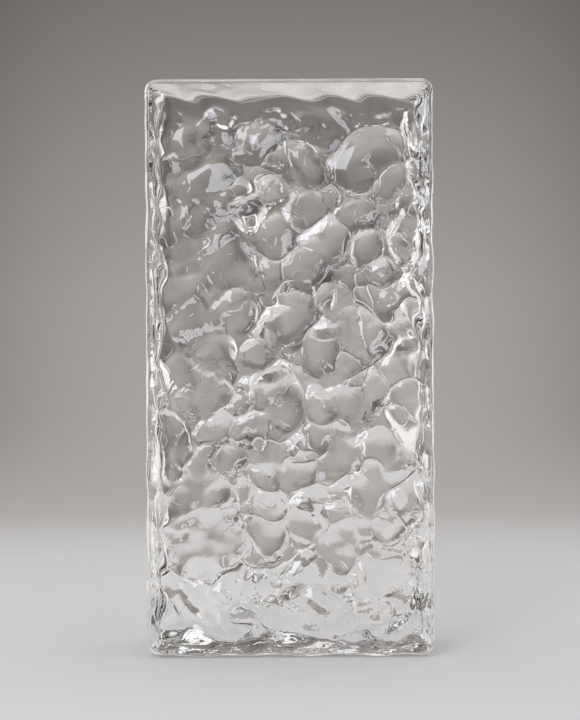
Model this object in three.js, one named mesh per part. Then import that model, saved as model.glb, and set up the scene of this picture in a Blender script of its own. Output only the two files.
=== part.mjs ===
// A solid cast-glass brick, standing on its end.
// Both large faces are pebbled: flat-topped domes of many sizes, packed side by side, which meet in valleys.
// The glass keeps its full thickness in a raised rim round each pebbled face.
// The four narrow sides are flat beds for glue or mortar, and every edge is rounded.
// Millimetres, +Z up. The origin is the centre of the footprint.
// The pebbled faces look along -Y and +Y. A Vector2 holds a place on them as X and Z, from their middle.
import * as THREE from "three";

// Driving dimensions.
const WIDTH = 100; // along X
const THICKNESS = 50; // along Y, over the rims
const HEIGHT = 200; // along Z
const EDGE_RADIUS = 1.8; // the rounding between a pebbled face and the narrow sides
const FACE_CORNER = 1.6; // the corners of a pebbled face; the brick's outline has this plus the rounding

// The two pebbled faces. They have the same kind of pattern, laid differently.
// The pebble height is measured from a crown to its shoulder. The end rim is the rim along the short edges.
const FRONT = { number: 1, side: -1, pebbleHeight: 0.85, endRim: 6.5 };
const BACK = { number: 2, side: 1, pebbleHeight: 0.75, endRim: 11 };

// The shape of a pebble. Its size is the distance from its middle to its shoulder.
const SMALLEST = 4;
const LARGEST = 10;
const STEEPNESS = 0.65; // 0 is a round dome, and 1 has a flat top and steep shoulders
const STRETCH = 1.15; // how much longer than wide
const CROWN_SPREAD = 0.9; // how much lower the lowest crown lies than the highest
const DEEPEST = 1.9; // where the valleys level out, below the highest crown
const LEVELLING = 6; // how sharply they do

// Where the pebbles lie.
const PEBBLE_PITCH = 13; // centre to centre
const STRAY = 4.5; // how far a pebble may lie from its place in the staggered rows, along X and along Z
const ROOM = 4; // left free round the shoulder of each main pebble
const BENDS = [
  { length: 41, size: 2.4 }, // sideways bends, which take the evenness out of the pattern
  { length: 15, size: 0.9 },
];
const SLANT = 0.5; // how far the bends run slantwise

// Towards one side the relief grows lower.
const CALM_FROM = -14; // along X
const CALM_TO = -30;
const CALM = 0.3; // by this share

// Below the top edge the relief levels out.
const LEVEL_FROM = 15; // below the edge
const LEVEL_TO = 5;
const TOP_LEVEL = 0.9; // how deep the level part lies below the highest crown

// The raised rim. Its inner edge is wavy.
const SIDE_RIM = 5; // its width along the two long edges
const RIM_FALL = 0.6; // how far the highest crown lies below the rim
const RIM_WAVE = 0.4; // how much wider or narrower the waves make it, as a share
const RIM_LENGTH = 19; // from one wave to the next
const RIM_DRIFT = 3; // after so many waves their spacing repeats
const RIM_SLOPE = 1.5; // 1 is a straight slope, and more is steeper beside the edge

// The pebbles that stand out on the front, from the middle of the face, each with its size and crown depth.
const MAIN_PEBBLES = [
  { x: 29, z: 68, size: 11, crown: 0 },
  { x: -10, z: 76, size: 7.5, crown: 0.2 },
  { x: 6, z: 71, size: 6, crown: 0.2 },
  { x: -12, z: 52, size: 5, crown: 0 },
  { x: 18, z: 45, size: 10, crown: 0.2 },
  { x: -25, z: 36, size: 10, crown: 0.3 },
  { x: -2, z: 14, size: 7, crown: 0.2 },
  { x: 21, z: 10, size: 11, crown: 0.3 },
  { x: -6, z: -11, size: 9, crown: 0.1 },
  { x: 10, z: -12, size: 6, crown: 0.2 },
  { x: 29, z: -33, size: 9, crown: 0.3 },
  { x: 5, z: -53, size: 8.5, crown: 0.1 },
  { x: -33, z: -62, size: 13, crown: 0.4 },
  { x: 30, z: -70, size: 11, crown: 0.4 },
  { x: -18, z: -84, size: 6, crown: 0 },
  { x: 3, z: -80, size: 5, crown: 0.1 },
  { x: 19, z: -85, size: 5.5, crown: 0 },
  { x: -7, z: -88, size: 4.5, crown: 0.2 },
];

// How finely the curved surfaces are cut into facets.
const FACET = 3.4;
const CLEARANCE = 0.5; // no two points of a face lie nearer than this share of a facet
const VALLEY_REACH = 0.42; // a point nearer to a valley than this share of a facet moves onto it
const PROBE = 0.01; // the step over which a slope is measured
const FLAT = 0.02; // a slope that counts as none
const CORNER_STEPS = 3;
const EDGE_STEPS = 3;

const FACE_HALF_WIDTH = WIDTH / 2 - EDGE_RADIUS;
const FACE_HALF_HEIGHT = HEIGHT / 2 - EDGE_RADIUS;
const QUARTER_TURN = Math.PI / 2;
const FULL_TURN = 2 * Math.PI;
const ROW = Math.sin(Math.PI / 3); // the rows of a staggered pattern are this share of its pitch apart
const HASH = [12.9898, 78.233, 37.719, 93.989]; // any unrelated numbers
const HASH_SCALE = 43758.5453; // any large number
const TRAITS = ["across", "up", "crown", "size", "lean"]; // what chance decides about a pebble

const { clamp, lerp, smoothstep } = THREE.MathUtils;

// A repeatable number from 0 to 1 for each place in the pattern, so a pebble stays put when a size changes.
function scattered(...place) {
  const mixed = place.reduce((sum, number, i) => sum + number * HASH[i], 0);
  const value = Math.sin(mixed) * HASH_SCALE;
  return value - Math.floor(value);
}

// Staggered rows that reach past the face: a list of places, each with its row and column.
function staggered(pitch) {
  const rows = Math.ceil(HEIGHT / 2 / (pitch * ROW)) + 1;
  const columns = Math.ceil(WIDTH / 2 / pitch) + 1;
  const places = [];
  for (let row = -rows; row <= rows; row++)
    for (let column = -columns; column <= columns; column++) {
      const x = (column + (row % 2 ? 0.5 : 0)) * pitch;
      places.push({ row, column, at: new THREE.Vector2(x, row * pitch * ROW) });
    }
  return places;
}

// All pebbles of a face: the main ones, and a scattered one wherever they leave room.
function pebbles(face) {
  const main = (face === FRONT ? MAIN_PEBBLES : []).map(({ x, z, size, crown }) => {
    return { middle: new THREE.Vector2(x, z), size, crown, lean: 0 };
  });
  const found = [...main];
  for (const { row, column, at } of staggered(PEBBLE_PITCH)) {
    const chance = (trait) => scattered(row, column, TRAITS.indexOf(trait), face.number);
    const strayed = new THREE.Vector2(2 * chance("across") - 1, 2 * chance("up") - 1);
    const middle = at.addScaledVector(strayed, STRAY);
    if (main.some((m) => m.middle.distanceTo(middle) < m.size + ROOM)) continue;
    const size = lerp(SMALLEST, LARGEST, chance("size"));
    found.push({ middle, size, crown: CROWN_SPREAD * chance("crown"), lean: Math.PI * chance("lean") });
  }
  return found;
}

// Where a place on the face falls in the unbent pattern.
function bent(p, face) {
  const place = p.clone();
  for (const { length, size } of BENDS) {
    const turn = FULL_TURN / length;
    place.x += size * Math.sin((p.y + p.x * SLANT) * turn + face.number);
    place.y += size * Math.sin((p.x - p.y * SLANT) * turn - face.number);
  }
  return place;
}

// How deep one dome lies at a place in the unbent pattern. Its outline is an ellipse that leans.
function domeDepth({ middle, size, crown, lean }, place, face) {
  const from = place.clone().rotateAround(middle, -lean).sub(middle);
  const square = (from.x ** 2 / STRETCH + from.y ** 2 * STRETCH) / size ** 2;
  const depth = crown + face.pebbleHeight * lerp(square, square ** 2, STEEPNESS);
  return depth / (1 + (depth / DEEPEST) ** LEVELLING) ** (1 / LEVELLING);
}

// The depths of the two highest domes at a place on the face.
function twoHighest(all, p, face) {
  const place = bent(p, face);
  let [first, second] = [Infinity, Infinity];
  for (const pebble of all) {
    const depth = domeDepth(pebble, place, face);
    second = Math.min(second, Math.max(first, depth));
    first = Math.min(first, depth);
  }
  return { first, second };
}

// Moves a place onto the nearest valley, where the two highest domes are equally high, if one is in reach.
function ontoValley(all, p, face) {
  const gapAt = (x, y) => {
    const { first, second } = twoHighest(all, new THREE.Vector2(x, y), face);
    return second - first;
  };
  const gap = gapAt(p.x, p.y);
  const slope = new THREE.Vector2(gapAt(p.x + PROBE, p.y) - gap, gapAt(p.x, p.y + PROBE) - gap);
  slope.divideScalar(PROBE);
  if (slope.length() < FLAT) return p;
  const way = slope.multiplyScalar(-gap / slope.lengthSq());
  return way.length() < VALLEY_REACH * FACET ? p.clone().add(way) : p;
}

// How far a place lies in from the long edges of the face, and from the short ones.
const fromSides = (p) => FACE_HALF_WIDTH - Math.abs(p.x);
const fromEnds = (p) => FACE_HALF_HEIGHT - Math.abs(p.y);

// How much of the relief shows at a place: nothing on the edge of the face, and all of it inside the rim.
function rimShare(p, face) {
  const turn = FULL_TURN / RIM_LENGTH;
  const along = p.x + p.y;
  const wave = 1 + RIM_WAVE * Math.sin(along * turn + Math.sin((along * turn) / RIM_DRIFT));
  const risen = (inside, width) => 1 - (1 - clamp(inside / (width * wave), 0, 1)) ** RIM_SLOPE;
  return risen(fromSides(p), SIDE_RIM) * risen(fromEnds(p), face.endRim);
}

// The edge of a pebbled face: points round a rectangle with rounded corners, each with its outward direction.
function rimPoints() {
  const centreX = FACE_HALF_WIDTH - FACE_CORNER;
  const centreZ = FACE_HALF_HEIGHT - FACE_CORNER;
  const corners = [
    { x: centreX, z: -centreZ, nextSide: 2 * centreZ },
    { x: centreX, z: centreZ, nextSide: 2 * centreX },
    { x: -centreX, z: centreZ, nextSide: 2 * centreZ },
    { x: -centreX, z: -centreZ, nextSide: 2 * centreX },
  ];
  const points = [];
  corners.forEach(({ x, z, nextSide }, i) => {
    for (let k = 0; k <= CORNER_STEPS; k++) {
      const angle = (i - 1 + k / CORNER_STEPS) * QUARTER_TURN;
      const out = new THREE.Vector2(Math.cos(angle), Math.sin(angle));
      points.push({ at: new THREE.Vector2(x, z).addScaledVector(out, FACE_CORNER), out });
    }
    const { at, out } = points.at(-1);
    const along = new THREE.Vector2(-out.y, out.x);
    const steps = Math.ceil(nextSide / FACET);
    for (let k = 1; k < steps; k++)
      points.push({ at: at.clone().addScaledVector(along, (nextSide * k) / steps), out });
  });
  return points;
}

// The places that get a corner of a facet: the edge, then staggered rows that give way to the valleys.
function facePoints(all, rim, face) {
  const points = rim.map(({ at }) => at);
  const clear = CLEARANCE * FACET;
  for (const { at } of staggered(FACET)) {
    const p = ontoValley(all, at, face);
    const inside = Math.min(fromSides(p), fromEnds(p)) >= clear;
    if (inside && points.every((q) => p.distanceTo(q) >= clear)) points.push(p);
  }
  return points;
}

// The circle through three of the points, which tells whether another point breaks their triangle up.
function circled(points, a, b, c) {
  const p = points[b].clone().sub(points[a]);
  const q = points[c].clone().sub(points[a]);
  const twiceArea = 2 * p.cross(q);
  const x = (q.y * p.lengthSq() - p.y * q.lengthSq()) / twiceArea;
  const y = (p.x * q.lengthSq() - q.x * p.lengthSq()) / twiceArea;
  const centre = points[a].clone().add(new THREE.Vector2(x, y));
  return { corners: [a, b, c], centre, radius: Math.hypot(x, y) };
}

// Joins the points into triangles with no thin ones where it can be helped (Delaunay, point by point).
function triangulate(points) {
  const far = 100 * (WIDTH + HEIGHT);
  const count = points.length;
  const all = [
    ...points,
    new THREE.Vector2(-far, -far),
    new THREE.Vector2(far, -far),
    new THREE.Vector2(0, far),
  ];
  let triangles = [circled(all, count, count + 1, count + 2)];
  points.forEach((p, i) => {
    const kept = [];
    const border = new Map();
    for (const triangle of triangles) {
      if (p.distanceTo(triangle.centre) >= triangle.radius) {
        kept.push(triangle);
        continue;
      }
      triangle.corners.forEach((a, k) => {
        const b = triangle.corners[(k + 1) % 3];
        if (!border.delete(`${b} ${a}`)) border.set(`${a} ${b}`, [a, b]);
      });
    }
    for (const [a, b] of border.values()) kept.push(circled(all, a, b, i));
    triangles = kept;
  });
  return triangles.map(({ corners }) => corners).filter((corners) => Math.max(...corners) < count);
}

// One pebbled face: its places, how deep each lies below the rim, and its triangles. The edge comes first.
function pebbledFace(face, rim) {
  const all = pebbles(face);
  const places = facePoints(all, rim, face);
  const relief = places.map((p) => {
    const calm = CALM * (1 - smoothstep(p.x, CALM_TO, CALM_FROM));
    return twoHighest(all, p, face).first * (1 - calm);
  });
  const highest = Math.min(...relief);
  const depths = places.map((p, i) => {
    const kept = smoothstep(FACE_HALF_HEIGHT - p.y, LEVEL_TO, LEVEL_FROM);
    return (RIM_FALL + lerp(TOP_LEVEL, relief[i] - highest, kept)) * rimShare(p, face);
  });
  return { places, depths, triangles: triangulate(places) };
}

// The whole brick: the front, the rounded edge, the narrow sides, the other rounded edge and the back.
function brickGeometry() {
  const rim = rimPoints();
  const positions = [];
  const indices = [];
  const add = (x, y, z) => positions.push(x, y, z + HEIGHT / 2) / 3 - 1;

  const addFace = (face) => {
    const { places, depths, triangles } = pebbledFace(face, rim);
    const ids = places.map((p, i) => add(p.x, face.side * (THICKNESS / 2 - depths[i]), p.y));
    for (const corners of triangles) {
      const [a, b, c] = corners.map((i) => ids[i]);
      indices.push(...(face === FRONT ? [a, b, c] : [c, b, a]));
    }
    return ids.slice(0, rim.length);
  };
  const addEdgeRing = (face, step) => {
    const angle = (step / EDGE_STEPS) * QUARTER_TURN;
    const out = EDGE_RADIUS * Math.sin(angle);
    const y = face.side * (THICKNESS / 2 - EDGE_RADIUS * (1 - Math.cos(angle)));
    return rim.map((r) => add(r.at.x + out * r.out.x, y, r.at.y + out * r.out.y));
  };

  const rings = [addFace(FRONT)];
  for (let step = 1; step <= EDGE_STEPS; step++) rings.push(addEdgeRing(FRONT, step));
  for (let step = EDGE_STEPS; step >= 1; step--) rings.push(addEdgeRing(BACK, step));
  rings.push(addFace(BACK));

  for (let r = 1; r < rings.length; r++)
    rim.forEach((_, i) => {
      const next = (i + 1) % rim.length;
      const [a, b] = [rings[r - 1][i], rings[r - 1][next]];
      const [d, c] = [rings[r][i], rings[r][next]];
      indices.push(a, c, b, a, d, c);
    });

  const geometry = new THREE.BufferGeometry();
  geometry.setAttribute("position", new THREE.Float32BufferAttribute(positions, 3));
  geometry.setIndex(indices);
  geometry.computeVertexNormals();
  return geometry;
}

const glass = new THREE.MeshStandardMaterial({
  color: 0xdfe0de,
  roughness: 0.03,
  metalness: 0,
  transparent: true,
  opacity: 0.35,
});

const brick = new THREE.Mesh(brickGeometry(), glass);
brick.name = "glass_brick";

const model = new THREE.Group();
model.add(brick);

export default model;
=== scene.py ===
# %% [markdown]
# # A solid glass brick
# This lesson finishes one object: a brick of clear cast glass that stands on its end. Molten glass is poured
# into a mould, so the two large faces carry a relief of shallow domes, here called pebbles, and the narrow
# sides stay nearly flat, as beds for glue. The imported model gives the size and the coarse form. All that is
# left to do is the surface, but with glass the surface is everything: each dome is a small lens.

import math

import bpy
import numpy as np
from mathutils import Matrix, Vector, noise


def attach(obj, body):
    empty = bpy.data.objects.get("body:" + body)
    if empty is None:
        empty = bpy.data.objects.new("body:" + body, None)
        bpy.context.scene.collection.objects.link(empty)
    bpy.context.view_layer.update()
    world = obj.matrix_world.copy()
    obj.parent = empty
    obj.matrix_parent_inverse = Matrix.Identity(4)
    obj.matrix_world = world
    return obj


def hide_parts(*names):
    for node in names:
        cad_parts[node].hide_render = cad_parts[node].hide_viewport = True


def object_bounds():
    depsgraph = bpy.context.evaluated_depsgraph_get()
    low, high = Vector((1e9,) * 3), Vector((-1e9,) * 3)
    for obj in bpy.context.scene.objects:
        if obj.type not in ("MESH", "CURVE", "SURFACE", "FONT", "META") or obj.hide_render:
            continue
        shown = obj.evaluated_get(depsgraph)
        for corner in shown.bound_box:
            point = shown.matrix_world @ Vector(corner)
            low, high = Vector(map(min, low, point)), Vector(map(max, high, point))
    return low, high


MM = 0.001

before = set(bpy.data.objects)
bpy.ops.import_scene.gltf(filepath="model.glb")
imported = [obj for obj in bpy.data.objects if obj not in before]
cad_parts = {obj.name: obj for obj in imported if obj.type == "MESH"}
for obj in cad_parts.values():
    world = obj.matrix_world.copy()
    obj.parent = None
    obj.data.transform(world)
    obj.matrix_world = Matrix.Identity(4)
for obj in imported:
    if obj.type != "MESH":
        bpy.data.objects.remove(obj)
cad_low, cad_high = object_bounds()
brick_size = cad_high - cad_low
print("the brick is", [round(side / MM, 1) for side in brick_size], "mm")

# %% [markdown]
# ## The two pebbled faces
# The relief could be a texture that pushes the surface in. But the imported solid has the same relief, and
# the net has to follow its valleys, so the relief is a formula of the place on the face, in metres. A face is
# what is left of a large side once the rounded edge is taken off. Places are measured from its middle, x to
# the right and z up. A grid of samples on the front serves to measure what each step does.

# %% Find the faces
EDGE_RADIUS = 1.8 * MM
SAMPLE_GAP = 2 * MM
FRONT = 1
BACK = 2

half_width = brick_size.x / 2
half_thickness = brick_size.y / 2
half_height = brick_size.z / 2
face_half_width = half_width - EDGE_RADIUS
face_half_height = half_height - EDGE_RADIUS
sample_columns = np.arange(-face_half_width, face_half_width, SAMPLE_GAP)
sample_rows = np.arange(-face_half_height, face_half_height, SAMPLE_GAP)
samples = [grid.ravel() for grid in np.meshgrid(sample_columns, sample_rows)]
print("a face is", round(2 * face_half_width / MM, 1), "by", round(2 * face_half_height / MM, 1), "mm")

# %% [markdown]
# ## The pebbles that stand out
# A few pebbles give this brick its face: a broad dome near the top right, two small round ones left of it,
# and wide calm ones at the foot. These are listed one by one for the front. Each has a place, its size from
# the middle to its shoulder, and how deep its crown lies.

# %% Place the main pebbles
MAIN_PEBBLES = np.array([
    (29, 68, 11, 0.0),
    (-10, 76, 7.5, 0.2),
    (6, 71, 6, 0.2),
    (-12, 52, 5, 0.0),
    (18, 45, 10, 0.2),
    (-25, 36, 10, 0.3),
    (-2, 14, 7, 0.2),
    (21, 10, 11, 0.3),
    (-6, -11, 9, 0.1),
    (10, -12, 6, 0.2),
    (29, -33, 9, 0.3),
    (5, -53, 8.5, 0.1),
    (-33, -62, 13, 0.4),
    (30, -70, 11, 0.4),
    (-18, -84, 6, 0.0),
    (3, -80, 5, 0.1),
    (19, -85, 5.5, 0.0),
    (-7, -88, 4.5, 0.2),
]) * MM
print(len(MAIN_PEBBLES), "pebbles are placed by hand")

# %% [markdown]
# ## Where the other pebbles lie
# The rest sit in staggered rows, like eggs in a tray, wherever the main ones leave room. Each strays from its
# place and has a size and a lean of its own. Chance would give another brick on every run, so each number
# comes from a formula of the row and the column: the fraction of a sine made very large, which looks random.

# %% Lay the pebbles
PEBBLE_PITCH = 13 * MM
STRAY = 4.5 * MM
ROOM = 4 * MM
SMALLEST = 4 * MM
LARGEST = 10 * MM
CROWN_SPREAD = 0.9 * MM
HASH = np.array([12.9898, 78.233, 37.719, 93.989])
HASH_SCALE = 43758.5453
STRAY_ACROSS, STRAY_UP, CROWN, SIZE, TURN = range(5)


def scattered(row, column, kind, face):
    value = math.sin(float(HASH @ (row, column, kind, face))) * HASH_SCALE
    return value - math.floor(value)


def lay_pebbles(face):
    main = MAIN_PEBBLES if face == FRONT else MAIN_PEBBLES[:0]
    row_pitch = PEBBLE_PITCH * math.sin(math.pi / 3)
    rows = math.ceil(half_height / row_pitch) + 1
    columns = math.ceil(half_width / PEBBLE_PITCH) + 1
    laid = [(*pebble, 0) for pebble in main]
    for row in range(-rows, rows + 1):
        for column in range(-columns, columns + 1):
            x = (column + 0.5 * (row % 2)) * PEBBLE_PITCH
            z = row * row_pitch
            x += STRAY * (2 * scattered(row, column, STRAY_ACROSS, face) - 1)
            z += STRAY * (2 * scattered(row, column, STRAY_UP, face) - 1)
            if any(math.hypot(x - m[0], z - m[1]) < m[2] + ROOM for m in main):
                continue
            size = SMALLEST + (LARGEST - SMALLEST) * scattered(row, column, SIZE, face)
            crown = CROWN_SPREAD * scattered(row, column, CROWN, face)
            lean = math.pi * scattered(row, column, TURN, face)
            laid.append((x, z, size, crown, lean))
    return np.array(laid)


pebbles = {face: lay_pebbles(face) for face in (FRONT, BACK)}
for face in pebbles:
    print("face", face, "has", len(pebbles[face]), "pebbles, counting those cut off by its rim")

# %% [markdown]
# ## The shape of a pebble
# A pebble is a dome, a little longer than wide, and all but the main ones are turned their own way. From its
# crown it falls with the square of the distance, which alone would make a round dome, and with the fourth
# power, which gives it a flat top and steep shoulders. Far down it levels out. Sideways bends of the whole
# pattern take the evenness out of the outlines. The face is whichever pebble is highest at each place, so the
# least depth is the one that counts.

# %% Shape the pebbles
PEBBLE_HEIGHT = {FRONT: 0.85 * MM, BACK: 0.75 * MM}
STEEPNESS = 0.65
STRETCH = 1.15
DEEPEST = 1.9 * MM
LEVELLING = 6
BENDS = ((41 * MM, 2.4 * MM), (15 * MM, 0.9 * MM))
SLANT = 0.5


def bent(x, z, face):
    across, up = x.copy(), z.copy()
    for length, size in BENDS:
        turn = 2 * math.pi / length
        across += size * np.sin((z + x * SLANT) * turn + face)
        up += size * np.sin((x - z * SLANT) * turn - face)
    return across, up


def dome_depths(x, z, face):
    middle_x, middle_z, size, crown, lean = pebbles[face].T
    bent_x, bent_z = bent(x, z, face)
    from_x = bent_x[:, None] - middle_x
    from_z = bent_z[:, None] - middle_z
    along = from_x * np.cos(lean) + from_z * np.sin(lean)
    across = from_z * np.cos(lean) - from_x * np.sin(lean)
    square = (along ** 2 / STRETCH + across ** 2 * STRETCH) / size ** 2
    domes = crown + PEBBLE_HEIGHT[face] * (square * (1 - STEEPNESS) + square ** 2 * STEEPNESS)
    return domes / (1 + (domes / DEEPEST) ** LEVELLING) ** (1 / LEVELLING)


plain_relief = dome_depths(*samples, FRONT).min(axis=1)
print("from crown to valley the plain domes fall by up to", round(np.ptp(plain_relief) / MM, 2), "mm")

# %% [markdown]
# ## Rounded valleys
# Where two pebbles meet, the plain rule leaves a knife-sharp valley. Hot glass can't hold one everywhere: its
# surface pulls tight and rounds it, more in some places than in others. Smoothing the finished net would
# round all valleys alike and flatten the crowns too. A soft minimum does it better: it follows the highest
# pebble, and blends two that are nearly as high. A noise, read in a layer of its own for each face, says
# where the valleys are soft, and towards the left side, where the relief is calm, they all are.

# %% Round the valleys
CREASE = {FRONT: 0.04 * MM, BACK: 0.07 * MM}
SOFT_VALLEY = 0.24 * MM
SOFTNESS_LENGTH = 17 * MM
SOFT_FROM_TO = (-0.15, 0.3)
CALM_FROM_TO = (-14 * MM, -30 * MM)
CALM_SOFTNESS = 0.65
LAYER_GAP = 10


def smooth_step(value, start, end):
    t = np.clip((value - start) / (end - start), 0, 1)
    return t * t * (3 - 2 * t)


def waves(x, z, length, layer):
    places = np.column_stack([x, z]) / length
    return np.array([noise.noise((a, b, LAYER_GAP * layer)) for a, b in places])


def softened(x, z, face):
    patchy = smooth_step(waves(x, z, SOFTNESS_LENGTH, face), *SOFT_FROM_TO)
    return np.maximum(patchy, CALM_SOFTNESS * smooth_step(x, *CALM_FROM_TO))


def rounded_relief(x, z, face):
    domes = dome_depths(x, z, face)
    softness = CREASE[face] + (SOFT_VALLEY - CREASE[face]) * softened(x, z, face)
    nearest = domes.min(axis=1)
    blend = np.exp((nearest[:, None] - domes) / softness[:, None]).sum(axis=1)
    return nearest - softness * np.log(blend)


lift = plain_relief - rounded_relief(*samples, FRONT)
print("rounding lifts the front's valleys by up to", round(lift.max() / MM, 2), "mm")

# %% [markdown]
# ## Swells and ripples
# The domes of a cast face aren't smooth. Ripples a few millimetres long run all over it, and where the
# valleys are soft it also swells. Both are sums of noise.

# %% Let the surface swell
SWELL_LENGTH = 5.6 * MM
SWELL = 0.30 * MM
RIPPLES = ((8.3 * MM, 0.20 * MM), (3.9 * MM, 0.035 * MM))


def swells(x, z, face):
    swell = SWELL * softened(x, z, face) * waves(x, z, SWELL_LENGTH, face + BACK)
    for length, size in RIPPLES:
        swell += size * waves(x, z, length, face)
    return swell


print("swells reach", round(np.abs(swells(*samples, FRONT)).max() / MM, 2), "mm up or down")

# %% [markdown]
# ## The foot
# Near the foot the faces are buckled by a swell of their own. At the very foot runs a low lip: the face
# stands out there, falls back within a few millimetres and comes forward again over the next centimetres.
# This small slope decides the look of the foot, because it bends one's sight down onto the brick's lower end,
# which then shows as a band of reflections. The band's upper edge follows the lip in long arcs.

# %% Form the foot
FOOT_SWELL_LENGTH = 7 * MM
FOOT_SWELL = 0.9 * MM
FOOT_SWELL_FROM_TO = (34 * MM, 20 * MM)
FOOT_SWELL_GONE = (12 * MM, 5 * MM)
LIP = 1.15 * MM
LIP_FROM = 4 * MM
LIP_TO = 10.5 * MM
LIP_GONE = 75 * MM
LIP_LENGTH = 22 * MM
LIP_WAVE = 5 * MM


def near_foot(z):
    return smooth_step(z + face_half_height, *FOOT_SWELL_FROM_TO)


def foot_swell(x, z, face):
    buckled = near_foot(z) * (1 - smooth_step(z + face_half_height, *FOOT_SWELL_GONE))
    return buckled * FOOT_SWELL * waves(x, z, FOOT_SWELL_LENGTH, face)


def lip_fall(x, z, face):
    from_foot = z + face_half_height
    fallen = smooth_step(from_foot + LIP_WAVE * waves(x, z, LIP_LENGTH, face), LIP_FROM, LIP_TO)
    return LIP * fallen * smooth_step(from_foot, LIP_GONE, LIP_TO)


print("behind its lip the foot falls back by", round(lip_fall(*samples, FRONT).max() / MM, 2), "mm")

# %% [markdown]
# ## The rim
# A raised rim runs round each face. There the relief dies out, and the glass is at its thickest. So each
# place has a share of the relief, which is nothing at the face's outline, whole inside the rim, and a rounded
# slope between. The rim's inner edge is wavy, and along the two long sides it strays from the waves.

# %% Shape the rim
SIDE_RIM = 5 * MM
END_RIM = {FRONT: 6.5 * MM, BACK: 11 * MM}
RIM_WAVE = 0.4
RIM_LENGTH = 19 * MM
RIM_DRIFT = 3
RIM_SLOPE = 1.5
RIM_STRAY_LENGTH = 5.3 * MM
RIM_STRAY = 0.55


def rim_share(x, z, face):
    along = (x + z) * 2 * math.pi / RIM_LENGTH
    wave = 1 + RIM_WAVE * np.sin(along + np.sin(along / RIM_DRIFT))
    stray = RIM_STRAY * waves(x, z, RIM_STRAY_LENGTH, face + BACK)
    from_side = np.clip((face_half_width - np.abs(x)) / (SIDE_RIM * (wave + stray)), 0, 1)
    from_end = np.clip((face_half_height - np.abs(z)) / (END_RIM[face] * wave), 0, 1)
    return (1 - (1 - from_side) ** RIM_SLOPE) * (1 - (1 - from_end) ** RIM_SLOPE)


in_rim = (rim_share(*samples, FRONT) < 1).mean()
print("the rim takes", round(100 * in_rim), "per cent of the front")

# %% [markdown]
# ## Add up the depth
# The depth counts from the top of the rim. Towards the left side and the foot the pebbles are lower, and just
# below the top edge the relief levels out.

# %% Add up the depth
RIM_FALL = 0.6 * MM
CALM = 0.3
CALM_SWELL = {FRONT: 0.5, BACK: 0.0}
FOOT_CALM = 0.4
LEVEL_FROM_TO = (15 * MM, 5 * MM)
TOP_LEVEL = 0.9 * MM


def near_top(z):
    return smooth_step(face_half_height - z, *LEVEL_FROM_TO)


def face_depth(x, z, face):
    calm = smooth_step(x, *CALM_FROM_TO)
    relief = rounded_relief(x, z, face)
    relief *= (1 - CALM * calm) * (1 - FOOT_CALM * near_foot(z))
    relief += swells(x, z, face) * (1 - CALM_SWELL[face] * calm)
    relief += foot_swell(x, z, face)
    relief += lip_fall(x, z, face)
    relief -= relief.min()
    relief += (TOP_LEVEL - relief) * near_top(z)
    return (RIM_FALL + relief) * rim_share(x, z, face)


print("on average the front lies", round(face_depth(*samples, FRONT).mean() / MM, 2), "mm deep")

# %% [markdown]
# ## The way to the nearest valley
# A valley runs where the two highest pebbles are equally high. Their difference, divided by how fast it
# changes, tells how far away the valley is and in which direction. Where it hardly changes, a least slope
# keeps the step short. The net and the material both use this.

# %% Find the valleys
PROBE = 0.01 * MM
LEAST_SLOPE = 0.04


def height_gap(x, z, face):
    domes = np.partition(dome_depths(x, z, face), 1, axis=1)
    return domes[:, 1] - domes[:, 0]


def way_to_valley(x, z, face):
    gap = height_gap(x, z, face)
    slope_x = (height_gap(x + PROBE, z, face) - gap) / PROBE
    slope_z = (height_gap(x, z + PROBE, face) - gap) / PROBE
    steep = np.maximum(np.hypot(slope_x, slope_z), LEAST_SLOPE) ** 2
    return -gap * slope_x / steep, -gap * slope_z / steep


ways = np.hypot(*way_to_valley(*samples, FRONT))
print("half of the front lies within", round(np.median(ways) / MM, 1), "mm of a valley")

# %% [markdown]
# ## A fine net over the coarse solid
# A plain fine grid would cut across the valleys and show them as saw teeth. The coarse solid has an edge
# along every valley and a point on every crown, so it is the best net to start from: cutting its triangles
# smaller keeps both. Its points are loose, so they are merged first, on a copy. The long triangles on the
# narrow sides are cut across before all of them are divided.

# %% Divide the net
MERGE_WITHIN = 0.001 * MM
SIDE_CUTS = (-11 * MM, 0, 11 * MM)
CUTS = 3

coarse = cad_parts["glass_brick"]
brick = bpy.data.objects.new("pebbled_brick", coarse.data.copy())
bpy.context.scene.collection.objects.link(brick)
bpy.ops.object.select_all(action="DESELECT")
brick.select_set(True)
bpy.context.view_layer.objects.active = brick

bpy.ops.object.mode_set(mode="EDIT")
bpy.ops.mesh.select_all(action="SELECT")
bpy.ops.mesh.remove_doubles(threshold=MERGE_WITHIN)
for cut in SIDE_CUTS:
    bpy.ops.mesh.select_all(action="SELECT")
    bpy.ops.mesh.bisect(plane_co=(0, cut, 0), plane_no=(0, 1, 0))
bpy.ops.mesh.select_all(action="SELECT")
bpy.ops.mesh.subdivide(number_cuts=CUTS)
bpy.ops.object.mode_set(mode="OBJECT")
brick.data.calc_loop_triangles()
print("the net has", len(brick.data.loop_triangles), "triangles")

# %% [markdown]
# ## Where each point lies
# The net has so many points that they are moved as arrays, not one by one. Two distances give a point's angle
# on the rounded edge: how far out it lies from the face, whose corners are a little round, and how far ahead
# it lies of the middle of the rounding. The angle is nothing on the face and a quarter turn on a narrow side.

# %% Read the points
FACE_CORNER = 1.6 * MM
ON_FACE = 0.001 * MM

points = np.empty(3 * len(brick.data.vertices))
brick.data.vertices.foreach_get("co", points)
points = points.reshape(-1, 3)
x, y = points[:, 0], points[:, 1]
z = points[:, 2] - half_height

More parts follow.
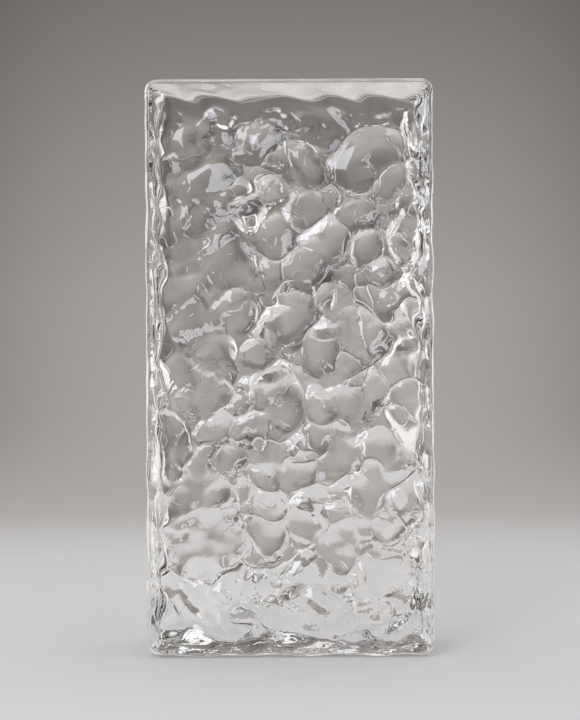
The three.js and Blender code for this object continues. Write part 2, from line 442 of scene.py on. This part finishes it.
past_x = np.maximum(np.abs(x) - (face_half_width - FACE_CORNER), 0)
past_z = np.maximum(np.abs(z) - (face_half_height - FACE_CORNER), 0)
past = np.hypot(past_x, past_z)
out = np.maximum(past - FACE_CORNER, 0)
ahead = np.abs(y) - (half_thickness - EDGE_RADIUS)
angle = np.where(out > ON_FACE, np.arctan2(out, np.maximum(ahead, 0)), 0)
print(int((out > ON_FACE).sum()), "of", len(points), "points lie on an edge or on a narrow side")

# %% [markdown]
# ## Round the edge
# The coarse edge is made of flat strips. Each of its points moves out or in until it lies on a true arc round
# the middle of the rounding. The narrow sides of a cast brick aren't true planes either. A noise sinks them,
# the foot most and the top least, and never lets them stand out. They also lie a hair further in, so the
# foot is just clear of the floor: glass and paper that share a plane would show as one.

# %% Round the edge
HAIR = 0.02 * MM
SIDE_WAVE = 0.5 * MM
SIDE_LENGTHS = (10 * MM, 24 * MM, 10 * MM)
SIDE_LEVEL = 0.5
TOP_SHARE = 0.3
FOOT_WAVE = 0.9 * MM
FOOT_LENGTH = 12 * MM

side_waves = np.array([noise.noise(point) for point in np.column_stack([x, y, z]) / SIDE_LENGTHS])
side_share = 1 - (1 - TOP_SHARE) * smooth_step(half_height - z, *LEVEL_FROM_TO)
sink = HAIR + SIDE_WAVE * side_share * np.maximum(SIDE_LEVEL + side_waves, 0)
under_foot = smooth_step(z + half_height, EDGE_RADIUS + FACE_CORNER, EDGE_RADIUS)
sink += FOOT_WAVE * under_foot * np.maximum(SIDE_LEVEL + waves(x, y, FOOT_LENGTH, FRONT), 0)
reach = np.where(out > ON_FACE, FACE_CORNER + (EDGE_RADIUS - sink) * np.sin(angle), past)
scale = np.divide(reach, past, out=np.ones_like(past), where=past > ON_FACE)
x = x + np.sign(x) * past_x * (scale - 1)
z = z + np.sign(z) * past_z * (scale - 1)
print("the narrow sides lie up to", round(sink[out > ON_FACE].max() / MM, 2), "mm further in")

# %% [markdown]
# ## Lay the net along the valleys
# The coarse edges are straight and the valleys are curved, so the divided net follows them only roughly. A
# point that is close to a valley moves onto it. Where that would turn a triangle over or squash it, its
# points stay. What is left of the way to the valley is kept for the material, which cuts a fine groove there.
# In the rim, below the top edge and where valleys are soft, the way is made longer, so the groove fades.

# %% Move points onto the valleys
FACE_SIDE = {FRONT: -1, BACK: 1}
REACH = 0.36 * MM
SQUASHED = 0.15
INSIDE_RIM = 0.1
GROOVE_WIDTH = 0.75 * MM
NO_GROOVE = 2 * GROOVE_WIDTH
FADE = 2

triangles = np.empty(3 * len(brick.data.loop_triangles), dtype=int)
brick.data.loop_triangles.foreach_get("vertices", triangles)
triangles = triangles.reshape(-1, 3)


def doubled_areas(x, z):
    (ax, bx, cx), (az, bz, cz) = x[triangles].T, z[triangles].T
    return (bx - ax) * (cz - az) - (cx - ax) * (bz - az)


to_valley = np.full(len(x), NO_GROOVE)
for face, side in FACE_SIDE.items():
    inside = np.flatnonzero((side * y > 0) & (out < ON_FACE) & (rim_share(x, z, face) > INSIDE_RIM))
    step_x, step_z = way_to_valley(x[inside], z[inside], face)
    close = np.hypot(step_x, step_z) < REACH
    moved_x, moved_z = x.copy(), z.copy()
    moved_x[inside[close]] += step_x[close]
    moved_z[inside[close]] += step_z[close]
    before = doubled_areas(x, z)
    spoilt = doubled_areas(moved_x, moved_z) * np.sign(before) < SQUASHED * np.abs(before)
    stay = np.unique(triangles[spoilt])
    moved_x[stay], moved_z[stay] = x[stay], z[stay]
    print("face", face, "has", int((moved_x != x).sum()), "points moved onto its valleys")
    x, z = moved_x, moved_z
    step_x, step_z = way_to_valley(x[inside], z[inside], face)
    fade = 1 - rim_share(x[inside], z[inside], face) + FADE * softened(x[inside], z[inside], face)
    fade += FADE * near_top(z[inside])
    to_valley[inside] = np.hypot(step_x, step_z) + GROOVE_WIDTH * fade

# %% [markdown]
# ## Set the depths
# With every point in its place, its depth follows from the relief and from its angle on the rounded edge.

# %% Set the depths
for face, side in FACE_SIDE.items():
    on_this = (side * y > 0) & (ahead > -ON_FACE)
    depth = face_depth(x[on_this], z[on_this], face)
    y[on_this] = side * (half_thickness - depth - EDGE_RADIUS * (1 - np.cos(angle[on_this])))
    print("face", face, "is up to", round(float(depth.max()) / MM, 2), "mm deep")

# %% [markdown]
# ## Round the corners
# Seen from the front, this brick's corners are rounder than those of the coarse solid, most of all at the
# foot. A bevel would need new points, so the ones that are there are drawn in instead. In each direction from
# the new corner's middle, the coarse outline lies at a known distance, on a straight side or on the smaller
# old corner. The share that brings this outline to the new radius moves all points in that direction.

# %% Round the corners
TOP_CORNER = 4.4 * MM
FOOT_CORNER = 5.4 * MM
COARSE_CORNER = EDGE_RADIUS + FACE_CORNER


def coarse_outline(turn, corner):
    across, up = np.cos(turn), np.sin(turn)
    inset = corner - COARSE_CORNER
    straight = corner / np.maximum(across, up)
    old_arc = np.sqrt(np.maximum(COARSE_CORNER ** 2 - (inset * (across - up)) ** 2, 0))
    return np.where(straight * np.minimum(across, up) > inset, inset * (across + up) + old_arc, straight)


for end, corner in ((1, TOP_CORNER), (-1, FOOT_CORNER)):
    aside = np.maximum(np.abs(x) - (half_width - corner), 0)
    along = np.maximum(end * z - (half_height - corner), 0)
    there = (aside > 0) & (along > 0)
    shrink = corner / coarse_outline(np.arctan2(along[there], aside[there]), corner) - 1
    x[there] += np.sign(x[there]) * aside[there] * shrink
    z[there] += end * along[there] * shrink
    print(int(there.sum()), "points round two corners to", round(corner / MM, 1), "mm")

# %% [markdown]
# ## Write the surface back
# The moved points go back into the mesh. The way to the nearest valley goes with them as an attribute, in
# millimetres. Four-sided pieces of the net become triangles, and all shade smoothly, so the glass shows no
# facets.

# %% Write the surface back
brick.data.vertices.foreach_set("co", np.column_stack([x, y, z + half_height]).ravel())
brick.data.update()
stored_way = brick.data.attributes.new("to_valley", "FLOAT", "POINT")
stored_way.data.foreach_set("value", np.minimum(to_valley, NO_GROOVE) / MM)

bpy.ops.object.mode_set(mode="EDIT")
bpy.ops.mesh.select_all(action="SELECT")
bpy.ops.mesh.quads_convert_to_tris()
bpy.ops.object.mode_set(mode="OBJECT")
bpy.ops.object.shade_smooth()
print(int((to_valley < GROOVE_WIDTH).sum()), "points lie in a groove")

# %% [markdown]
# ## The glass
# Clear glass has almost no colour of its own. What one sees is the light that it bends, so the refractive
# index matters more than the colour. A trace of roughness is the haze of a skin that never was polished. A
# glass shader would do, but the Principled one with full transmission is what other programs take over, as
# long as each value that is the same all over sits on its own socket.

# %% Make the glass
GLASS_COLOUR = (0.995, 0.984, 0.970, 1)
GLASS_ROUGHNESS = 0.015
GLASS_INDEX = 1.52

glass = bpy.data.materials.new("cast_glass")
glass.use_nodes = True
surface = glass.node_tree.nodes["Principled BSDF"]
surface.inputs["Base Color"].default_value = GLASS_COLOUR
surface.inputs["Roughness"].default_value = GLASS_ROUGHNESS
surface.inputs["IOR"].default_value = GLASS_INDEX
surface.inputs["Transmission Weight"].default_value = 1.0
print("the glass has a refractive index of", GLASS_INDEX)

# %% [markdown]
# ## Know the place on the glass
# The large relief is in the mesh. What is left of the skin is far too fine for it, so bumps make it. Most of
# them depend on how high a place is, since the top and the foot of the brick differ. Every shader node takes
# the same steps: make it, set it, and give each input a value or a link. One helper does this for any node
# tree. It takes an input by its name, or by its number where two have the same name.

# %% Read the height
TOP_FROM_TO = (189 * MM, 178 * MM)
FOOT_FROM_TO = (36 * MM, 18 * MM)


def add_node(tree, kind, inputs=(), **settings):
    node = tree.nodes.new("ShaderNode" + kind)
    for setting, value in settings.items():
        setattr(node, setting, value)
    for name, value in dict(inputs).items():
        if isinstance(value, bpy.types.NodeSocket):
            tree.links.new(value, node.inputs[name])
        else:
            node.inputs[name].default_value = value
    return node


def mapped(tree, value, start, end, low, high, curve="LINEAR"):
    inputs = {"Value": value, "From Min": start, "From Max": end, "To Min": low, "To Max": high}
    return add_node(tree, "MapRange", inputs, interpolation_type=curve).outputs["Result"]


def eased(tree, value, start, end):
    return mapped(tree, value, start, end, 0, 1, "SMOOTHSTEP")


skin = glass.node_tree
place = add_node(skin, "TexCoord").outputs
height = add_node(skin, "SeparateXYZ", {"Vector": place["Object"]}).outputs["Z"]
below_top = eased(skin, height, *TOP_FROM_TO)
at_foot = eased(skin, height, *FOOT_FROM_TO)
print("the skin has", len(skin.nodes), "nodes so far")

# %% [markdown]
# ## Ripple the skin
# All cast glass has a faint slow ripple where it cooled. Only the top end is smoother. Each bump is laid over
# the one before it.

# %% Ripple the skin
RIPPLE_SCALE = 230
RIPPLE_DETAIL = 1.0
RIPPLE_HEIGHT = 0.022 * MM


def calculate(tree, operation, first, second=0):
    return add_node(tree, "Math", {0: first, 1: second}, operation=operation).outputs["Value"]


def multiply(tree, first, second):
    return calculate(tree, "MULTIPLY", first, second)


def noise_field(scale, detail=0.0, along_y=1.0):
    drawn_out = add_node(skin, "Mapping", {"Vector": place["Object"], "Scale": (1, along_y, 1)})
    inputs = {"Vector": drawn_out.outputs["Vector"], "Scale": scale, "Detail": detail}
    return add_node(skin, "TexNoise", inputs).outputs["Fac"]


def add_bump(shape, distance, below=None):
    inputs = {"Strength": 1.0, "Distance": distance, "Height": shape}
    if below is not None:
        inputs["Normal"] = below
    return add_node(skin, "Bump", inputs).outputs["Normal"]


ripple = multiply(skin, noise_field(RIPPLE_SCALE, RIPPLE_DETAIL), below_top)
rippled = add_bump(ripple, RIPPLE_HEIGHT)
print("the ripple is at most", round(RIPPLE_HEIGHT / MM, 3), "mm high")

# %% [markdown]
# ## Draw flow lines
# Where streams of hot glass met, hair-thin lines stay in the skin, in patches. A line runs where a noise
# crosses its middle value, because such places form long thin curves. A second noise chooses the patches.

# %% Draw flow lines
LINE_SCALE = 105
LINE_DETAIL = 1.0
MIDDLE_VALUE = 0.5
LINE_WIDTH = 0.022
LINE_DEPTH = 0.028 * MM
PATCH_SCALE = 38
PATCH_FROM_TO = (0.44, 0.56)

from_middle = calculate(skin, "SUBTRACT", noise_field(LINE_SCALE, LINE_DETAIL), MIDDLE_VALUE)
line = eased(skin, calculate(skin, "ABSOLUTE", from_middle), LINE_WIDTH, 0)
patch = multiply(skin, eased(skin, noise_field(PATCH_SCALE), *PATCH_FROM_TO), below_top)
flow_lines = multiply(skin, multiply(skin, line, patch), -1)
lined = add_bump(flow_lines, LINE_DEPTH, rippled)
print("flow lines are at most", round(LINE_DEPTH / MM, 3), "mm deep")

# %% [markdown]
# ## Cut a groove along each valley
# A sharp valley ends in a groove that is finer than the net can show. The attribute on the mesh says how far
# away the valley is, so the groove lies exactly in it, which no noise could do.

# %% Cut the grooves
GROOVE_DEPTH = 0.19 * MM

valley = add_node(skin, "Attribute", attribute_name="to_valley").outputs["Fac"]
groove = multiply(skin, eased(skin, valley, GROOVE_WIDTH / MM, 0), -1)
grooved = add_bump(groove, GROOVE_DEPTH, lined)
print("grooves are", round(GROOVE_DEPTH / MM, 2), "mm deep and", round(2 * GROOVE_WIDTH / MM, 1), "mm wide")

# %% [markdown]
# ## Wrinkle the chilled glass
# Where the mould chilled the glass too soon, its skin wrinkled. One noise says where that happened: in most
# places near the foot, and in a few spots higher up. The lip right above the foot stays smooth, as wrinkles
# would break up the calm arcs that it makes.

# %% Wrinkle the glass
CHILL_SCALE = 60
CHILL_AT_FOOT = (0.42, 0.56)
CHILL_ABOVE = (0.61, 1.0)
ABOVE_LIP = (4 * MM, 14 * MM)
WRINKLE_SCALE = 100
WRINKLE_DETAIL = 1.5
WRINKLE_HEIGHT = 2.3 * MM

chill = noise_field(CHILL_SCALE)
chilled_foot = multiply(skin, eased(skin, chill, *CHILL_AT_FOOT), at_foot)
chilled_spots = multiply(skin, eased(skin, chill, *CHILL_ABOVE), below_top)
chilled = calculate(skin, "MAXIMUM", chilled_foot, chilled_spots)
chilled = multiply(skin, chilled, eased(skin, height, *ABOVE_LIP))
wrinkle = multiply(skin, noise_field(WRINKLE_SCALE, WRINKLE_DETAIL), chilled)
wrinkled = add_bump(wrinkle, WRINKLE_HEIGHT, grooved)
print("wrinkles start", round(ABOVE_LIP[0] / MM), "mm above the floor")

# %% [markdown]
# ## Crinkle the long sides
# The mesh already makes the narrow sides uneven. Over that, the long ones are crinkled in patches, and the
# crinkles are drawn out from front to back. The normal tells which side a place is on. Only the size of its
# parts is used, because a surface seen from inside the glass has its normal turned round.

# %% Crinkle the long sides
SIDE_FACING = (0.3, 0.9)
CHILL_AT_SIDE = (0.40, 0.56)
SIDE_SCALE = 220
SIDE_DETAIL = 2.0
SIDE_DRAWN_OUT = 0.4
SIDE_HEIGHT = 0.8 * MM

facing = add_node(skin, "SeparateXYZ", {"Vector": place["Normal"]}).outputs
on_side = eased(skin, calculate(skin, "ABSOLUTE", facing["X"]), *SIDE_FACING)
chilled_side = multiply(skin, on_side, eased(skin, chill, *CHILL_AT_SIDE))
crinkle = multiply(skin, noise_field(SIDE_SCALE, SIDE_DETAIL, SIDE_DRAWN_OUT), chilled_side)
crinkled = add_bump(crinkle, SIDE_HEIGHT, wrinkled)
print("crinkles are drawn out", round(1 / SIDE_DRAWN_OUT, 1), "times their width")

# %% [markdown]
# ## Buckle the foot, slacken the top
# The two ends differ: the foot is buckled all over, and the top end only undulates. Both mirror what stands
# behind the brick, so their look matters as much as that of the faces. The sign of the normal can't tell
# them apart, as it turns round inside the glass, so the height does.

# %% Buckle the foot, slacken the top
END_FACING = (0.5, 0.9)
FOOT_SCALE = 90
FOOT_DETAIL = 3.0
FOOT_DRAWN_OUT = 0.8
FOOT_HEIGHT = 2.0 * MM
TOP_SCALE = 40
TOP_DRAWN_OUT = 0.7
TOP_HEIGHT = 1.9 * MM

on_end = eased(skin, calculate(skin, "ABSOLUTE", facing["Z"]), *END_FACING)
on_foot = multiply(skin, on_end, at_foot)
buckle = multiply(skin, noise_field(FOOT_SCALE, FOOT_DETAIL, FOOT_DRAWN_OUT), on_foot)
buckled = add_bump(buckle, FOOT_HEIGHT, crinkled)

on_top = calculate(skin, "SUBTRACT", on_end, on_foot)
slack = multiply(skin, noise_field(TOP_SCALE, along_y=TOP_DRAWN_OUT), on_top)
skin.links.new(add_bump(slack, TOP_HEIGHT, buckled), surface.inputs["Normal"])
print("the skin has", sum(node.type == "BUMP" for node in skin.nodes), "layers of bump")

# %% [markdown]
# ## Put the glass on the brick
# The finished brick takes the place of the coarse solid, which is hidden. The finished brick stands for the
# coarse solid, which is hidden but keeps the weight and the collision. It gets the cast glass and hangs
# from the root body.

# %% Put the glass on the brick
brick.data.materials.clear()
brick.data.materials.append(glass)
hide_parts("glass_brick")
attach(brick, "root")
print(brick.name, "is made of", glass.name)

# %% [markdown]
# ## The floor
# Glass shows its surroundings, so the stage is part of the look. A studio has a paper sweep, which runs up
# out of focus behind the object. A modelled sweep would take its grey from the lamps, which is hard to steer.
# A flat floor that grows clear away from the brick lets the world show instead, and that can be painted. Seen
# through the glass the floor reaches further back, which keeps the lower half of the brick bright.

# %% Lay the floor
FLOOR_RADIUS = 1.6
FLOOR_SIDES = 96
FLOOR_COLOUR = (0.82, 0.81, 0.81, 1)
FLOOR_ROUGHNESS = 0.9
FLOOR_WHOLE = 0.25
FLOOR_GONE = 0.75
FLOOR_GONE_IN_GLASS = 1.15

bpy.ops.object.select_all(action="DESELECT")
bpy.ops.mesh.primitive_circle_add(
    vertices=FLOOR_SIDES, radius=FLOOR_RADIUS, fill_type="NGON", location=(0, 0, 0)
)
floor = bpy.context.active_object
floor.name = "floor"

paper = bpy.data.materials.new("pale_floor")
paper.use_nodes = True
sheet = paper.node_tree
matt = sheet.nodes["Principled BSDF"]
matt.inputs["Base Color"].default_value = FLOOR_COLOUR
matt.inputs["Roughness"].default_value = FLOOR_ROUGHNESS

spot = add_node(sheet, "TexCoord").outputs["Object"]
distance = add_node(sheet, "VectorMath", {0: spot}, operation="LENGTH").outputs["Value"]
by_camera = add_node(sheet, "LightPath").outputs["Is Camera Ray"]
gone = mapped(sheet, by_camera, 0, 1, FLOOR_GONE_IN_GLASS, FLOOR_GONE)
clear = add_node(sheet, "BsdfTransparent").outputs["BSDF"]
parts = {"Fac": eased(sheet, distance, FLOOR_WHOLE, gone), 1: matt.outputs["BSDF"], 2: clear}
sweep = add_node(sheet, "MixShader", parts).outputs["Shader"]
sheet.links.new(sweep, sheet.nodes["Material Output"].inputs["Surface"])
floor.data.materials.append(paper)
print("the floor is whole out to", FLOOR_WHOLE, "m and gone at", FLOOR_GONE, "m")

# %% [markdown]
# ## The light under the brick
# A real brick gathers light and throws it onto the floor, and the glass shows this light again. A render with
# few samples can't follow it, so the floor gives off a little light itself, most of it straight under the
# brick. Only the glass sees that: to the camera the floor keeps its plain colour and the brick's shadow.

# %% Light the floor under the brick
GATHERED_LIGHT = 0.06
GLOW = 0.35
GLOW_INSET = 3.5 * MM
WHITE = (1, 1, 1, 1)


def within(value, half):
    return calculate(sheet, "LESS_THAN", calculate(sheet, "ABSOLUTE", value), half)


floor_place = add_node(sheet, "SeparateXYZ", {"Vector": spot}).outputs
under_width = within(floor_place["X"], half_width - GLOW_INSET)
under_thickness = within(floor_place["Y"], half_thickness - GLOW_INSET)
glow = multiply(sheet, multiply(sheet, under_width, under_thickness), GLOW)
all_light = calculate(sheet, "ADD", glow, GATHERED_LIGHT)
in_glass = calculate(sheet, "SUBTRACT", 1, by_camera)
matt.inputs["Emission Color"].default_value = WHITE
sheet.links.new(multiply(sheet, all_light, in_glass), matt.inputs["Emission Strength"])
print("seen through the glass, the floor glows by", GATHERED_LIGHT, "and by", GLOW, "more under the brick")

# %% [markdown]
# ## The backdrop
# Behind the brick stands a grey wall that darkens upwards. A real plane would show its edges in the glass, so
# the wall is painted on the world, as a table of how many degrees up one looks and the grey there. The glass
# bends each line of sight by up to thirty degrees, so the wall goes on far above and below what the picture
# itself shows.

# %% Paint the backdrop
WALL = (
    (-90, (0.60, 0.59, 0.58)),
    (-7, (0.59, 0.58, 0.57)),
    (-4.9, (0.475, 0.46, 0.45)),
    (-4.0, (0.435, 0.415, 0.405)),
    (-3.2, (0.415, 0.395, 0.38)),
    (2, (0.38, 0.36, 0.34)),
    (7, (0.275, 0.26, 0.25)),
    (11, (0.185, 0.172, 0.162)),
    (18, (0.165, 0.16, 0.155)),
    (28, (0.11, 0.11, 0.11)),
    (38, (0.085, 0.085, 0.09)),
    (90, (0.20, 0.20, 0.20)),
)

world = bpy.data.worlds.new("studio")
bpy.context.scene.world = world
world.use_nodes = True
studio = world.node_tree
look = add_node(studio, "TexCoord").outputs["Generated"]
way = add_node(studio, "SeparateXYZ", {"Vector": look}).outputs
rise = calculate(studio, "ARCSINE", way["Z"])
wall = add_node(studio, "ValToRGB", {"Fac": mapped(studio, rise, -math.pi / 2, math.pi / 2, 0, 1)})
shades = wall.color_ramp.elements
while len(shades) < len(WALL):
    shades.new(0.5)
for shade, (degrees, colour) in zip(shades, WALL):
    shade.position = (degrees + 90) / 180
    shade.color = (*colour, 1)
print("the wall has", len(shades), "shades of grey")

# %% [markdown]
# ## Light and shade along the wall
# A lit wall isn't even from side to side. Its light falls off to the left and right with the cube of the
# angle, but not further down, where the sweep is. Through the glass it also leans: it is darker on the left
# and lighter on the right.

# %% Shade the wall
FALLOFF = 0.25
FALLOFF_AT = math.radians(8)
FALLOFF_POWER = 3
FALLOFF_END = 1.1
SWEEP_TO_WALL = (math.radians(-5), math.radians(-1))
LEAN_WIDTH = math.radians(7)
LEFT_CHANGE = -0.21
RIGHT_CHANGE = 0.18

path = add_node(studio, "LightPath").outputs
unseen = calculate(studio, "SUBTRACT", 1, path["Is Camera Ray"])
round_about = calculate(studio, "ARCTAN2", way["X"], way["Y"])
turned = calculate(studio, "ABSOLUTE", round_about)
off_centre = mapped(studio, turned, 0, FALLOFF_AT * FALLOFF_END, 0, FALLOFF_END)
cubed = calculate(studio, "POWER", off_centre, FALLOFF_POWER)
lost = multiply(studio, cubed, mapped(studio, rise, *SWEEP_TO_WALL, 0, FALLOFF, "SMOOTHSTEP"))
left_over = calculate(studio, "SUBTRACT", 1, lost)
lean = mapped(studio, round_about, -LEAN_WIDTH, LEAN_WIDTH, LEFT_CHANGE, RIGHT_CHANGE)
level = add_node(studio, "Math", {0: lean, 1: unseen, 2: left_over}, operation="MULTIPLY_ADD")
scaled = {0: wall.outputs["Color"], "Scale": level.outputs["Value"]}
lit = add_node(studio, "VectorMath", scaled, operation="SCALE").outputs["Vector"]
print("at", round(math.degrees(FALLOFF_AT)), "degrees the wall has lost", FALLOFF, "of its light")

# %% [markdown]
# ## The painted softboxes
# Clear glass is lit by what stands behind it. Two tall softboxes stand behind the brick, just out of the
# picture on the left and on the right, and a third hangs above. The edges and the steep sides of the pebbles
# bend them into white sparkles. Lamps would light the floor too. Painted on the world, the boxes are seen by
# the glass and not by the camera, so the view from any side keeps its plain wall.

# %% Paint the softboxes
SOFT_EDGE = math.radians(8)
SOFTBOXES = (
    # azimuth, elevation, half the width, half the height, all in degrees, and the colour
    (-30, 10, 18, 30, (0.76, 0.76, 0.76)),
    (31, 10, 20, 30, (0.64, 0.63, 0.61)),
    (0, 42, 40, 22, (0.9, 0.9, 0.9)),
)


def band(value, middle, half):
    apart = calculate(studio, "ABSOLUTE", calculate(studio, "SUBTRACT", value, math.radians(middle)))
    return eased(studio, apart, math.radians(half), math.radians(half) - SOFT_EDGE)


for azimuth, elevation, half_wide, half_high, colour in SOFTBOXES:
    box = multiply(studio, band(round_about, azimuth, half_wide), band(rise, elevation, half_high))
    layers = {0: multiply(studio, box, unseen), 1: colour, 2: lit}
    lit = add_node(studio, "VectorMath", layers, operation="MULTIPLY_ADD").outputs["Vector"]
    print("a softbox spans", 2 * half_wide, "by", 2 * half_high, "degrees")
backdrop = studio.nodes["Background"]
studio.links.new(lit, backdrop.inputs["Color"])

# %% [markdown]
# ## Light for matt things
# Under the dark wall, matt things such as the floor would turn dark too. They are lit by an even white room
# instead, which keeps their colour as it is written. The light path counts the matt surfaces that a line of
# sight has met. With none it ends on the wall, with one or more in the room, and half lies between the two.

# %% Light the room
ROOM_LIGHT = 0.70
NONE_OR_MORE = 0.5

room = add_node(studio, "Background", {"Color": (ROOM_LIGHT, ROOM_LIGHT, ROOM_LIGHT, 1)})
on_matt = calculate(studio, "GREATER_THAN", path["Diffuse Depth"], NONE_OR_MORE)
surroundings = {"Fac": on_matt, 1: backdrop.outputs["Background"], 2: room.outputs["Background"]}
choice = add_node(studio, "MixShader", surroundings).outputs["Shader"]
studio.links.new(choice, studio.nodes["World Output"].inputs["Surface"])
print("matt things are lit at", ROOM_LIGHT)

# %% [markdown]
# ## The lamp
# One real softbox stands behind the viewer, above and to the left. Its image sits on the pebbles' upper left
# slopes, and it gives the brick its faint shadow on the floor.

# %% Hang the lamp
LAMP_PLACE = (-0.34, -0.97, 0.47)
LAMP_WIDTH = 0.36
LAMP_HEIGHT = 0.40
LAMP_WATTS = 3.4
LAMP_COLOUR = (0.88, 0.89, 1.0)

lamp_data = bpy.data.lights.new("key_softbox", "AREA")
lamp_data.shape = "RECTANGLE"
lamp_data.size = LAMP_WIDTH
lamp_data.size_y = LAMP_HEIGHT
lamp_data.energy = LAMP_WATTS
lamp_data.color = LAMP_COLOUR
lamp = bpy.data.objects.new("key_softbox", lamp_data)
to_brick = Vector((0, 0, half_height)) - Vector(LAMP_PLACE)
lamp.location = LAMP_PLACE
lamp.rotation_euler = to_brick.to_track_quat("-Z", "Y").to_euler()
bpy.context.scene.collection.objects.link(lamp)
print(lamp.name, "gives", LAMP_WATTS, "W from", round(to_brick.length, 2), "m away")

# %% [markdown]
# ## The camera
# The camera stands level with the brick's middle and looks straight at its front, so the sides of the brick
# stay upright in the picture. Its lens is shifted up a little, where a tilt would make them lean. It is
# turned by about a quarter of a degree, as a camera held by hand would be. The focal length is given in rows
# of the picture, of which 720 fill the sensor.

# %% Set up the camera
SENSOR = 36
PICTURE_HEIGHT = 720
FOCAL_PIXELS = 2039
HORIZON_PIXELS = 8
CAMERA_DISTANCE = 0.728
CAMERA_ROLL = math.radians(0.28)

camera_data = bpy.data.cameras.new("camera")
camera_data.sensor_width = SENSOR
camera_data.lens = FOCAL_PIXELS / PICTURE_HEIGHT * SENSOR
camera_data.shift_y = HORIZON_PIXELS / PICTURE_HEIGHT
camera = bpy.data.objects.new("camera", camera_data)
camera.location = (0, -CAMERA_DISTANCE, half_height)
camera.rotation_euler = (math.pi / 2, CAMERA_ROLL, 0)
bpy.context.scene.collection.objects.link(camera)
bpy.context.scene.camera = camera
bpy.context.scene.view_settings.view_transform = "Standard"
print("the lens is", round(camera_data.lens), "mm long")
